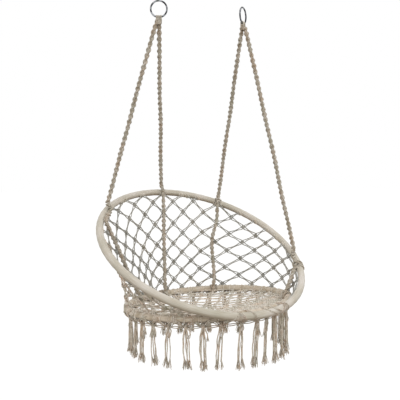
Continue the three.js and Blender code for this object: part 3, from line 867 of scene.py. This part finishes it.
# The wall bulges a little at the rear and the right, and is drawn in at the left
def wallPoint(column, height):
    line = wallLine(column)
    left = clamp((column - netLook["waistFrom"]) / netLook["waistOver"])
    share = clamp(height / line["length"]) ** netLook["bulgeLow"]
    bulge = (netLook["bulge"] - netLook["waist"] * left) * math.sin(math.pi * share)
    return line["foot"] + line["up"] * height + line["outward"] * bulge


def rowHeight(row, column):
    count = netLook["rows"] - row
    share = clamp((column - netLook["rightColumn"]) / (netLook["rearColumn"] - netLook["rightColumn"]))
    share = share * share * (3 - 2 * share)
    pitch = netLook["rightPitch"] + (netLook["rearPitch"] - netLook["rightPitch"]) * share
    growth = netLook["rightGrowth"] + (netLook["rearGrowth"] - netLook["rightGrowth"]) * share
    return netLook["lowestRow"] + count * (pitch + count * growth)


def squareKnot(knot, look, rng):
    strands = []
    along, across, normal = knot["along"], knot["across"], knot["normal"]
    last = look["knotBars"] - 1
    for k in range(look["knotBars"]):
        share = (2 * k - last) / last
        lean = unit(across + along * rng.uniform(-0.28, 0.28) + normal * rng.uniform(-0.1, 0.1))
        reach = look["knotHalf"] * (1.08 - 0.30 * share ** 2) * rng.uniform(0.94, 1.06)
        depth = look["knotDepth"] * rng.uniform(0.9, 1.1)
        centre = knot["place"] + along * share * look["cord"] * knotLook["barPitch"]
        strands.append((loopPoints(centre, lean, normal, reach, depth, 12), look["cord"], True))
    return strands


def linkPair(start, end, normal, look, rng):
    run = end - start
    across = unit(np.cross(normal, run))
    lift = unit(np.cross(run, across))
    strands = []
    crossing = rng.uniform(0.35, 0.65)
    for way in (-1, 1):
        bows = look["pairGap"] + look["bow"] * bowReaches * rng.uniform(0.5, 1.5)
        slack = look["bow"] * rng.uniform(-0.7, 0.7) * np.sin(np.pi * bowShares)
        lifts = look["cord"] * 0.4 * way * np.cos(np.pi * bowShares / crossing)
        points = (start + run * bowShares[:, None] + across * (way * bows + slack)[:, None]
                  + lift * lifts[:, None])
        strands.append((points, look["cord"] * rng.uniform(0.92, 1.08), False))
    return strands


# Where a pair of cords leaves a knot: at the corner nearest to where the pair goes
def linkStart(knot, target):
    run = target - knot["place"]
    side = 1 if run.dot(knot["across"]) > 0 else -1
    way = 1 if run.dot(knot["along"]) > 0 else -1
    return (knot["place"] + knot["across"] * side * knotLook["cordSide"]
            + knot["along"] * way * knotLook["cordReach"])


def linkKnots(knot, other, look, rng):
    start, end = linkStart(knot, other["place"]), linkStart(other, knot["place"])
    return linkPair(start, end, knot["normal"], look, rng)


def linkRim(knot, place, look, rng):
    return linkPair(linkStart(knot, place), place, knot["normal"], look, rng)


def wallKnots(rng):
    knots = {}
    for column in range(netColumns):
        line = wallLine(column)
        for row in range(netLook["rows"] - 1 + column % 2, 0, -2):
            height = rowHeight(row, column)
            if height > line["length"] - netLook["rimKnotGap"]:
                break
            along = -line["up"]
            across = unit(wallPoint(column + 1, height) - wallPoint(column - 1, height))
            across = unit(across - along * across.dot(along))
            place = wallPoint(column, height) + across * rng.uniform(-netLook["stray"], netLook["stray"])
            knots[column, row] = {"height": height, "place": place, "along": along, "across": across,
                                  "normal": line["outward"]}
    return knots


# How far aside, in columns, a cord that runs on from a top knot meets the rim
def rimShare(height, column, side):
    for share in np.arange(netLook["rimSpread"], 1.0, 0.05):
        if wallLine(column + side * share)["length"] < height + share * netLook["rearPitch"]:
            break
    return share


def stripOf(column):
    return min(max(int(column // stripColumns), 0), stripCount - 1)


netRng = np.random.default_rng(60)
wallStrips = [[] for _ in range(stripCount)]
topHitches, footHitches = [], []
knots = wallKnots(netRng)
for (column, row), knot in knots.items():
    wallStrips[stripOf(column)] += squareKnot(knot, netLook, netRng)
    for side in (1, -1):
        strip = wallStrips[stripOf(column + side * 0.5)]
        below = knots.get((column + side, row + 1))
        if below:
            strip += linkKnots(knot, below, netLook, netRng)
        else:
            foot = wallLine(column + side * min(knot["height"] / netLook["rearPitch"], 1))
            strip += linkRim(knot, foot["foot"], netLook, netRng)
            footHitches.append((foot["footAngle"], side))
        if (column + side, row - 1) not in knots:
            rim = wallLine(column + side * rimShare(knot["height"], column, side))
            strip += linkRim(knot, rim["top"], netLook, netRng)
            topHitches.append((rim["rimAngle"], side, -rim["up"] - rim["outward"] * 0.5))


# The function that goes from 0 at the strip's top to 1 at its foot, as nearly as one direction can
def stripBlend(number):
    lines = [wallLine(stripColumns * (number + share)) for share in (0, 0.5, 1)]
    places = np.array([line["top"] for line in lines] + [line["foot"] for line in lines])
    goals = np.array([0.0] * 3 + [1.0] * 3)
    middle = places.mean(axis=0)
    across = unit(lines[2]["top"] + lines[2]["foot"] - lines[0]["top"] - lines[0]["foot"])
    down = -lines[1]["up"]
    down = unit(down - across * down.dot(across))
    rows = np.column_stack([(places - middle) @ across, (places - middle) @ down, np.ones(6)])
    (gainAcross, gainDown, offset), *_ = np.linalg.lstsq(rows, goals, rcond=None)
    gradient = across * gainAcross + down * gainDown
    reach = gradient / gradient.dot(gradient)
    start = middle - reach * offset
    return start, start + reach


for number, strands in enumerate(wallStrips):
    if not strands:
        continue
    finish = fringeFinish if number * stripColumns >= netLook["shadedFrom"] else netFinish
    piece = makeCords(f"back_net_strip_{number + 1:02d}", strands, finish)
    settleAcross(piece, "net_cotton", ["back_net"], ("back_frame", "seat_frame"), *stripBlend(number))
print("back net made")

# Hitches: stitches through the back sleeve, and full turns round the seat hoop, more at the left front
hitchLook = {
    "cord": 0.0013,
    "topCord": 0.0018,
    "topPitch": 0.0036,
    "topProud": 0.0012,
    "topLeans": (-0.4, -0.1, 0.2, 0.5),
    "sunk": 0.0025,
    "arcSpan": 160,
    "turnPitch": 0.0033,
    "turnProud": 0.8,
    "aside": 0.004,
    "frontTurns": 3,
    "frontFrom": 150,
    "firstAngle": -50,
    "lastAngle": 222,
}


def hoopTurn(angle, shift, rng):
    tangent = hoopTangent(seatHoop, angle)
    lean = unit(radial(seatHoop, angle) + tangent * rng.uniform(-0.2, 0.2))
    centre = hoopPoint(seatHoop, angle) + tangent * shift
    reach = hoopLook["sleeveRadius"] + hitchLook["cord"] * hitchLook["turnProud"]
    return loopPoints(centre, lean, seatHoop["normal"], reach, reach, 16), hitchLook["cord"], True


strands = []
for angle, side, towards in topHitches:
    centre, tangent, out = hoopPoint(backHoop, angle), hoopTangent(backHoop, angle), unit(towards)
    reach, half = hoopLook["sleeveRadius"] + hitchLook["topProud"], hitchLook["arcSpan"] / 2
    for k, lean in enumerate(hitchLook["topLeans"]):
        shift = (k - (len(hitchLook["topLeans"]) - 1) / 2) * hitchLook["topPitch"] * side
        across = unit(unit(np.cross(tangent, out)) + tangent * lean * side)
        points = arcPoints(centre + tangent * shift, out, across, reach, reach, -half, half, 9)
        for end in (0, -1):
            points[end] += unit(centre - points[end]) * hitchLook["sunk"]
        strands.append((points, hitchLook["topCord"], False))
piece = makeCords("back_net_top_hitches", strands, seatFinish)
settle(piece, ["back_net"], "back_frame")

strands = []
for angle, side in footHitches:
    if hitchLook["firstAngle"] < angle < hitchLook["lastAngle"]:
        turns = hitchLook["frontTurns"] if angle > hitchLook["frontFrom"] else 1
        for k in range(turns):
            shift = (k - (turns - 1) / 2) * hitchLook["turnPitch"] + side * hitchLook["aside"]
            strands.append(hoopTurn(angle, shift, netRng))
piece = makeCords("back_net_foot_hitches", strands, seatFinish)
settle(piece, ["back_net"], "seat_frame")
print("hitches made")

# Seat net: laid in the seat hoop, open at the rear and closer to the front, sagging and hitched all round
seatLook = {
    "halfPitchX": 0.031,
    "rearPitch": 0.030,
    "frontPitch": 0.011,
    "closingFrom": 0.080,
    "closedAt": -0.200,
    "sag": 0.026,
    "margin": 0.020,
    "rimOverlap": 0.002,
    "cord": 0.0018,
    "knotHalf": 0.0040,
    "knotDepth": 0.0030,
    "knotBars": 2,
    "pairGap": 0.0022,
    "bow": 0.0022,
    "stray": 0.009,
    "rowStray": 0.15,
}


def seatPoint(x, y):
    share = (x * x + y * y) / seatHoop["radius"] ** 2
    return (seatHoop["centre"] + rightward * x + seatHoop["up"] * y
            - seatHoop["normal"] * seatLook["sag"] * (1 - share))


def seatRim(x, y, stepX, stepY):
    reach = seatHoop["radius"] - hoopLook["sleeveRadius"] + seatLook["rimOverlap"]
    inward, squared = x * stepX + y * stepY, stepX ** 2 + stepY ** 2
    run = (-inward + math.sqrt(inward ** 2 + squared * (reach ** 2 - x * x - y * y))) / squared
    return x + run * stepX, y + run * stepY


def rowPitch(y):
    share = clamp((seatLook["closingFrom"] - y) / (seatLook["closingFrom"] - seatLook["closedAt"]))
    return seatLook["rearPitch"] + (seatLook["frontPitch"] - seatLook["rearPitch"]) * share


seatRng = np.random.default_rng(70)
seatReach = seatHoop["radius"] - seatLook["margin"]
seatRows = [seatReach - seatLook["rearPitch"] * 0.4]
while seatRows[-1] > -seatReach:
    seatRows.append(seatRows[-1] - rowPitch(seatRows[-1]))
seatKnots = {}
countX = math.ceil(seatHoop["radius"] / seatLook["halfPitchX"])
for i in range(-countX, countX + 1):
    for j, y in enumerate(seatRows):
        x = i * seatLook["halfPitchX"]
        if (i + j) % 2 == 0 and math.hypot(x, y) < seatReach:
            x += seatRng.uniform(-seatLook["stray"], seatLook["stray"])
            y += seatRng.uniform(-seatLook["rowStray"], seatLook["rowStray"]) * rowPitch(y)
            seatKnots[i, j] = {"x": x, "y": y, "place": seatPoint(x, y), "across": rightward,
                               "along": seatHoop["up"], "normal": seatHoop["normal"]}
strands, rimAngles = [], []
for (i, j), knot in seatKnots.items():
    strands += squareKnot(knot, seatLook, seatRng)
    for stepX, stepY in ((1, 1), (-1, 1), (-1, -1), (1, -1)):
        other = seatKnots.get((i + stepX, j - stepY))
        if other and stepY > 0:
            strands += linkKnots(knot, other, seatLook, seatRng)
        elif not other:
            rim = seatRim(knot["x"], knot["y"], stepX * seatLook["halfPitchX"], stepY * rowPitch(knot["y"]))
            strands += linkRim(knot, seatPoint(*rim), seatLook, seatRng)
            rimAngles.append(math.degrees(math.atan2(rim[1], rim[0])))
strands += [hoopTurn(angle, 0, seatRng) for angle in rimAngles]
piece = makeCords("seat_net_cords", strands, seatFinish)
settle(piece, ["seat_net"], "seat_frame")
print("seat net made")

# Front lashing: fans of cord round both hoops where they meet
lashLook = {
    "cord": 0.0010,
    "wrap": 80,
    "wrapSteps": 9,
    # the middle is measured from the hoops' front, and the slant is how far a fan runs aside to its foot
    "fans": (
        {"middle": -0.106, "slant": -0.004, "cords": 9, "top": 0.014, "foot": 0.056},
        {"middle": -0.052, "slant": 0.010, "cords": 2, "top": 0.010, "foot": 0.016},
        {"middle": 0.030, "slant": 0.050, "cords": 2, "top": 0.008, "foot": 0.012},
        {"middle": 0.060, "slant": 0.052, "cords": 2, "top": 0.008, "foot": 0.012},
        {"middle": 0.074, "slant": -0.020, "cords": 2, "top": 0.006, "foot": 0.012},
        {"middle": 0.096, "slant": 0.006, "cords": 4, "top": 0.012, "foot": 0.030},
    ),
}
strands = []
lashRng = np.random.default_rng(80)
backFront, seatFront = hoopPoint(backHoop, frontAngle), hoopPoint(seatHoop, frontAngle)
away = unit((backFront - seatFront) * (0, 1, 1))
for number, fan in enumerate(lashLook["fans"]):
    for k in range(fan["cords"]):
        share = (k + 0.5) / fan["cords"] - 0.5 + lashRng.uniform(-0.03, 0.03)
        upper = fan["middle"] - fan["slant"] / 2 + share * fan["top"]
        lower = fan["middle"] + fan["slant"] / 2 + share * fan["foot"]
        layer = (hoopLook["sleeveRadius"]
                 + lashLook["cord"] * (1.0 + 0.7 * (number % 2) + lashRng.uniform(0, 0.3)))
        places = []
        for hoop, way in ((backHoop, away), (seatHoop, -away)):
            for turn in np.radians(np.linspace(-lashLook["wrap"], lashLook["wrap"], lashLook["wrapSteps"])):
                lift = way * math.cos(turn) + np.cross(rightward, way) * math.sin(turn)
                offset = lower + (upper - lower) * (lift[2] + 1) / 2
                aside = math.degrees(math.asin((backHoop["centre"][0] + offset - hoop["centre"][0])
                                               / hoop["radius"]))
                places.append(hoopPoint(hoop, frontAngle + aside) + lift * layer)
        strands.append((np.array(places), lashLook["cord"], True))
piece = makeCords("front_lashing_cords", strands, fringeFinish)
settleAcross(piece, "rope_cotton", ["front_lashing"], ("back_frame", "seat_frame"), backFront, seatFront)
print("lashing made")

# Fringe band: knots under the seat hoop, arches that rise over its face, and cords slung below
tasselAngles = (8, 26, 39, 52, 65.5, 79, 93, 104, 116, 128, 140, 152, 164, 173, 183,
                195, 207, 219, 230, 241, 254.5, 266, 275, 284, 294, 305, 317, 329, 340, 350)
fringeLook = {
    "cord": 0.0017,
    "inset": 0.006,
    "knotTop": 0.014,
    "knotBottom": 0.031,
    "knotHalf": 0.0064,
    "barReaches": (0.8, 1.0, 1.0, 1.0, 0.8),
    "barPitch": 0.0036,
    "legAngle": 1.2,
    "legPitchAngle": 1.6,
    "legSink": 0.001,
    "legFoot": 0.006,
    "legSide": 0.001,
    "legPitch": 0.002,
    "legBow": 0.002,
    "legStep": 0.004,
    "archRolls": (8, 24, 62),
    "archFoot": 0.027,
    "archStep": 0.005,
    "swagDrop": 0.005,
    "swagPitch": 0.0036,
    "swagStep": 0.006,
}
fringeRng = np.random.default_rng(90)
strands = []
knotLevel = (fringeLook["knotTop"] + fringeLook["knotBottom"]) / 2


def fringePoint(degrees, drop):
    return hoopPoint(seatHoop, degrees) - radial(seatHoop, degrees) * fringeLook["inset"] - upward * drop


def fringeAxes(degrees):
    across = unit(hoopTangent(seatHoop, degrees) * (1, 1, 0))
    return across, np.cross(across, upward)


def archPath(degrees, nextDegrees, roll, narrow):
    points = []
    for share in np.linspace(narrow, 1 - narrow, 9):
        rise = max(math.sin(math.pi * (share - narrow) / (1 - 2 * narrow)), 0) ** 0.6
        angle = math.radians(90 - (90 - roll) * rise)
        reach = fringeLook["archFoot"] * (1 - rise) + (hoopLook["sleeveRadius"] + fringeLook["cord"]) * rise
        turn = degrees + (nextDegrees - degrees) * share
        aside = reach * math.cos(angle) - fringeLook["inset"] * (1 - rise)
        points.append(hoopPoint(seatHoop, turn) + radial(seatHoop, turn) * aside
                      - upward * reach * math.sin(angle))
    return smoothPath(points, fringeLook["archStep"])


for number, degrees in enumerate(tasselAngles):
    place = fringePoint(degrees, knotLevel)
    across, out = fringeAxes(degrees)
    for k, share in enumerate(fringeLook["barReaches"]):
        shift = (k - (len(fringeLook["barReaches"]) - 1) / 2) * fringeLook["barPitch"]
        lean = unit(across + upward * fringeRng.uniform(-0.4, 0.4))
        reach = fringeLook["knotHalf"] * share
        strands.append((loopPoints(place + upward * shift, lean, out, reach, reach * 0.85, 12),
                        fringeLook["cord"] * 1.15, True))
    for side in (-1, 1):
        for k in range(2):
            turn = degrees + side * (fringeLook["legAngle"] + fringeLook["legPitchAngle"] * k)
            top = hoopPoint(seatHoop, turn) - upward * (hoopLook["sleeveRadius"] - fringeLook["legSink"])
            low = (place + across * side * (fringeLook["legSide"] + fringeLook["legPitch"] * k)
                   - upward * fringeLook["legFoot"])
            bow = (top + low) / 2 + across * side * fringeLook["legBow"]
            strands.append((smoothPath([top, bow, low], fringeLook["legStep"]), fringeLook["cord"], False))
    following = tasselAngles[(number + 1) % len(tasselAngles)]
    nextDegrees = following + (360 if following < degrees else 0)
    for k, roll in enumerate(fringeLook["archRolls"]):
        narrow = 0.05 + 0.09 * k + fringeRng.uniform(-0.02, 0.02)
        strands.append((archPath(degrees, nextDegrees, roll + fringeRng.uniform(-6, 6), narrow),
                        fringeLook["cord"], False))
    other = fringePoint(nextDegrees, knotLevel)
    for k in range(2):
        drop = fringeLook["swagDrop"] * (0.7 + 0.5 * k) + fringeLook["swagPitch"] * k
        sags = ((0, fringeLook["legFoot"]), (0.3, drop * 0.9), (0.5, drop), (0.7, drop * 0.9),
                (1, fringeLook["legFoot"]))
        controls = [place * (1 - share) + other * share - upward * sag for share, sag in sags]
        strands.append((smoothPath(controls, fringeLook["swagStep"]), fringeLook["cord"] * 0.9, False))
piece = makeCords("fringe_band_cords", strands, fringeFinish)
settle(piece, ["fringe_band"], "seat_frame")
print("fringe band made")

# Tassels: loose cords that hang from each fringe knot, waved, with frayed ends
tasselLook = {
    "length": 0.182,
    "variation": 0.022,
    "longest": 350,
    "top": 0.029,
    "topWidth": 0.008,
    "topDepth": 0.003,
    "cord": 0.0020,
    "cords": (5, 8),
    "spread": 0.008,
    "tuft": 0.007,
    "lean": 0.006,
    "depth": 0.005,
    "waves": (0.0006, 0.0016),
    "frayLength": 0.030,
    "frayReach": 0.010,
    "hair": 0.0007,
    "hairs": 9,
    "hairStep": 0.007,
    "shortFray": 0.6,
}


def frayedEnd(tip, heading, across, out, rng, share):
    hairs = []
    for _ in range(tasselLook["hairs"]):
        angle = rng.uniform(0, math.tau)
        reach = tasselLook["frayReach"] * share * math.sqrt(rng.uniform(0.05, 1))
        aside = across * math.cos(angle) * reach + out * math.sin(angle) * reach
        length = tasselLook["frayLength"] * share * rng.uniform(0.75, 1.15)
        start = tip - heading * tasselLook["frayLength"] * 0.25 + aside * 0.12
        bend = start + heading * length * 0.55 + aside * 0.45
        end = start + heading * length * 1.1 + aside
        hairs.append((smoothPath([start, bend, end], tasselLook["hairStep"]),
                      tasselLook["hair"] * rng.uniform(0.8, 1.3), False))
    return hairs


def makeTassel(number, degrees):
    rng = np.random.default_rng(100 + number)

    def stray(reach):
        return rng.uniform(-reach, reach)

    place = fringePoint(degrees, 0)
    across, out = fringeAxes(degrees)
    longer = tasselLook["variation"] * math.cos(math.radians(degrees - tasselLook["longest"]))
    fullLength = tasselLook["length"] + longer - tasselLook["top"] - tasselLook["frayLength"] * 0.8
    strands = []
    count = int(rng.integers(*tasselLook["cords"]))
    lean = stray(tasselLook["lean"])
    for k in range(count):
        spot = (k - (count - 1) / 2) / count
        top = (place + across * spot * tasselLook["topWidth"] + out * stray(tasselLook["topDepth"])
               - upward * tasselLook["top"])
        length = fullLength * rng.uniform(0.93, 1.0)
        short = k == count - 1 or (k == 0 and rng.uniform() < 0.3)
        if short:
            length *= rng.uniform(0.15, 0.4)
        middle = across * (spot * 2 * tasselLook["spread"] + stray(0.002))
        end = across * (spot * 2 * tasselLook["tuft"] + lean + stray(0.003))
        depth = out * stray(tasselLook["depth"])
        shares = np.linspace(0, 1, 12)[:, None]
        swing = 2 * shares * (1 - shares)
        waves = (rng.uniform(*tasselLook["waves"])
                 * np.sin(shares * math.tau * rng.uniform(1.2, 2.4) + rng.uniform(0, 6)))
        points = (top - upward * length * shares + middle * swing * 1.6 + end * shares ** 1.5
                  + depth * np.sin(shares * math.pi / 2) + across * waves * np.sin(math.pi * shares))
        strands.append((points, tasselLook["cord"] * rng.uniform(0.9, 1.15), False))
        heading = unit(points[-1] - points[-2])
        strands += frayedEnd(points[-1], heading, across, out, rng, tasselLook["shortFray"] if short else 1.0)
    piece = makeCords(f"tassel_{number:02d}_cords", strands, tasselFinish)
    settle(piece, [f"tassel_{number:02d}"], "seat_frame")


for number, degrees in enumerate(tasselAngles):
    makeTassel(number + 1, degrees)
print("tassels made")

# Studio: a pale floor well below the chair, white to the camera, and soft lamps
studio = {
    "floorDrop": 0.40,
    "floorSize": 40.0,
    "floorColour": "#bfbab2",
    "floorWhite": 0.80,
    "floorGlow": 1.2,
    "fill": 0.79,
    "aimRise": 0.2,
    "lamps": (
        {"place": (-2.2, -2.4, 1.3), "size": 2.2, "watts": 42},
        {"place": (1.9, -1.6, 1.5), "size": 1.8, "watts": 22},
    ),
}


# 1 for rays that see the background as it is, 0 for those that light the chair
def whiteRays(tree):
    path = addNode(tree, "ShaderNodeLightPath").outputs
    white = path["Is Camera Ray"]
    for kind in ("Is Glossy Ray", "Is Transmission Ray"):
        white = addNode(tree, "ShaderNodeMath", {"operation": "MAXIMUM"}, {0: white, 1: path[kind]})
    return white


def makeFloor():
    material, tree = emptyMaterial("pale_floor")
    share = addNode(tree, "ShaderNodeMath", {"operation": "MULTIPLY", 1: studio["floorWhite"]},
                    {0: whiteRays(tree)})
    matt = addNode(tree, "ShaderNodeBsdfDiffuse", {"Color": linear(studio["floorColour"])})
    glow = addNode(tree, "ShaderNodeEmission", {"Color": linear(clear), "Strength": studio["floorGlow"]})
    mixed = addNode(tree, "ShaderNodeMixShader", links={0: share, 1: matt, 2: glow})
    addNode(tree, "ShaderNodeOutputMaterial", links={"Surface": mixed})
    mesh = bpy.data.meshes.new("floor")
    work = bmesh.new()
    bmesh.ops.create_grid(work, x_segments=1, y_segments=1, size=studio["floorSize"] / 2)
    work.to_mesh(mesh)
    work.free()
    floor = addPiece("floor", mesh, material)
    floor.location = (0, 0, cadBox[0][2] - studio["floorDrop"])


def makeWorld():
    world = bpy.data.worlds.new("studio")
    world.use_nodes = True
    bpy.context.scene.world = world
    tree = world.node_tree
    tree.nodes.clear()
    strength = addNode(tree, "ShaderNodeMath",
                       {"operation": "MULTIPLY_ADD", 1: 1 - studio["fill"], 2: studio["fill"]},
                       {0: whiteRays(tree)})
    sky = addNode(tree, "ShaderNodeBackground", {"Color": linear(clear)}, {"Strength": strength})
    addNode(tree, "ShaderNodeOutputWorld", links={"Surface": sky})


makeFloor()
makeWorld()
aim = Vector(seatHoop["centre"]) + Vector((0, 0, studio["aimRise"]))
for number, lamp in enumerate(studio["lamps"]):
    data = bpy.data.lights.new(f"lamp_{number}", "AREA")
    data.shape, data.size, data.energy = "DISK", lamp["size"], lamp["watts"]
    holder = addObject(f"lamp_{number}", data)
    holder.location = lamp["place"]
    holder.rotation_euler = (aim - Vector(lamp["place"])).to_track_quat("-Z", "Y").to_euler()
print("studio made")
